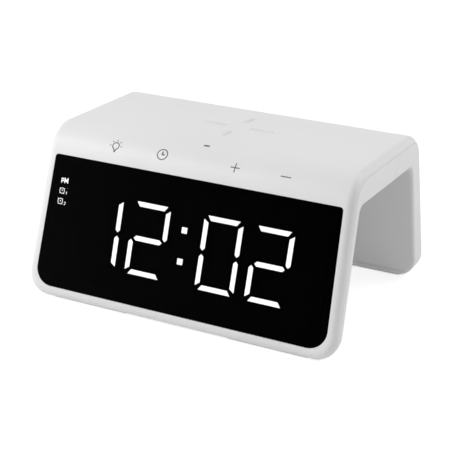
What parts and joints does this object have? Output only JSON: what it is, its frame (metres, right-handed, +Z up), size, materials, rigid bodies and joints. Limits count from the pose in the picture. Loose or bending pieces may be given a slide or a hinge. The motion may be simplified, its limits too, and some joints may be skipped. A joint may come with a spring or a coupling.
{
  "type": "wireless charging alarm clock",
  "caption": "Bridge-shaped bedside alarm clock: leaning digit display, touch keys on the rounded edge, phone charging top and an open arch with a night light under it.",
  "frame": {"origin": "on the table under the middle of the clock, in the plane of the feet", "axes": "+X to the right of someone who faces the display, -Y towards that person, +Z up"},
  "size_m": [0.1592, 0.1118, 0.0779],
  "materials": {
    "white_abs": "fine satin texture",
    "white_door_abs": "fine satin texture",
    "smoked_acrylic": "clear dark tint",
    "black_reflector": "matt",
    "digit_diffuser": "matt, lit from behind where the time shows",
    "black_board": "solder mask",
    "green_board": "solder mask",
    "led_body": "matt",
    "flat_cable": "satin",
    "white_silicone": "matt",
    "copper_wire": "enamelled copper",
    "ferrite": "matt",
    "grey_tray_abs": "matt",
    "chip_epoxy": "matt",
    "buzzer_housing": "satin",
    "grey_foam": "soft foam",
    "smoked_pipe": "grey, unlit",
    "opal_diffuser": "opal",
    "inlet_steel": "drawn",
    "cell_steel": "bright",
    "contact_brass": "plated spring strip",
    "screw_steel": "plated",
    "foot_rubber": "matt"
  },
  "bodies": {
    "clock": {"outer_shell": "white_abs", "front_cover": "white_abs", "rear_cover": "white_abs", "display_lens": "smoked_acrylic", "digit_reflector": "black_reflector", "hour_tens_segments": "digit_diffuser", "hour_ones_segments": "digit_diffuser", "minute_tens_segments": "digit_diffuser", "minute_ones_segments": "digit_diffuser", "colon_dots": "digit_diffuser", "status_icons": "digit_diffuser", "display_board": "black_board", "main_board": "green_board", "touch_board": "green_board", "night_light_board": "green_board", "inlet_board": "green_board", "contact_board": "green_board", "segment_leds": "led_body", "night_light_leds": "led_body", "charge_led": "led_body", "display_ribbon": "flat_cable", "power_ribbon": "flat_cable", "battery_ribbon": "flat_cable", "grip_ribs": "white_silicone", "charging_coil": "copper_wire", "coil_ferrite": "ferrite", "coil_tray": "grey_tray_abs", "control_chips": "chip_epoxy", "inlet_tongue": "chip_epoxy", "buzzer": "buzzer_housing", "touch_pads": "grey_foam", "charge_light_pipe": "smoked_pipe", "night_light_diffuser": "opal_diffuser", "power_inlet": "inlet_steel", "coin_cell": "cell_steel", "cell_contact": "contact_brass", "cover_screws": "screw_steel", "board_screws": "screw_steel", "front_feet": "foot_rubber", "rear_feet": "foot_rubber"},
    "cell_door": {"battery_door": "white_door_abs"}
  },
  "joints": [
    {"name": "cell_door_twist", "type": "hinge", "parent": "clock", "child": "cell_door", "pos_m": [-0.034, 0.05299, 0.02738], "axis": [0, 0.9919, 0.1271], "range_deg": [0, 45]}
  ]
}
